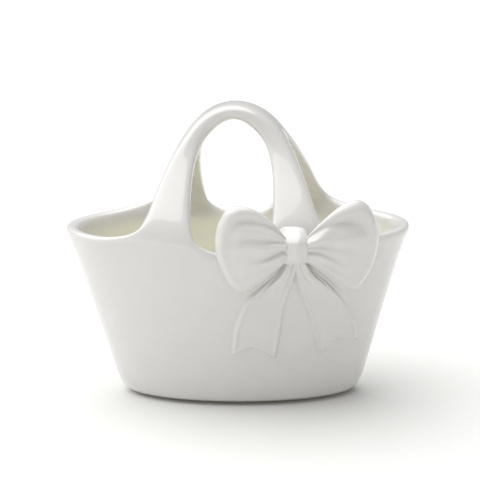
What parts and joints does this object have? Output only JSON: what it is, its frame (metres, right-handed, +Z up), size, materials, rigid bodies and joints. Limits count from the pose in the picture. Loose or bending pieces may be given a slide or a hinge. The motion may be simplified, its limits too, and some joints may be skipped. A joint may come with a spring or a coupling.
{
  "type": "flower girl basket",
  "caption": "Small glazed ceramic basket with a tapered oval tub, a handle of two joined arches and a moulded bow on the front, for carrying petals.",
  "frame": {"origin": "centre of the bounding box at the height of the table the foot ring stands on", "axes": "+X along the tub's long axis, to the right of someone facing the bow; -Y is the front, with the bow; +Z up"},
  "size_m": [0.1904, 0.114, 0.1649],
  "materials": {
    "white_glaze": "glossy white glaze over a white body",
    "bare_bisque": "unglazed, dry and slightly rough"
  },
  "bodies": {
    "root": {"tub": "white_glaze", "front_handle": "white_glaze", "back_handle": "white_glaze", "bow_left_loop": "white_glaze", "bow_right_loop": "white_glaze", "bow_knot": "white_glaze", "bow_left_tail": "white_glaze", "bow_right_tail": "white_glaze", "foot_ring": "bare_bisque"}
  },
  "joints": []
}
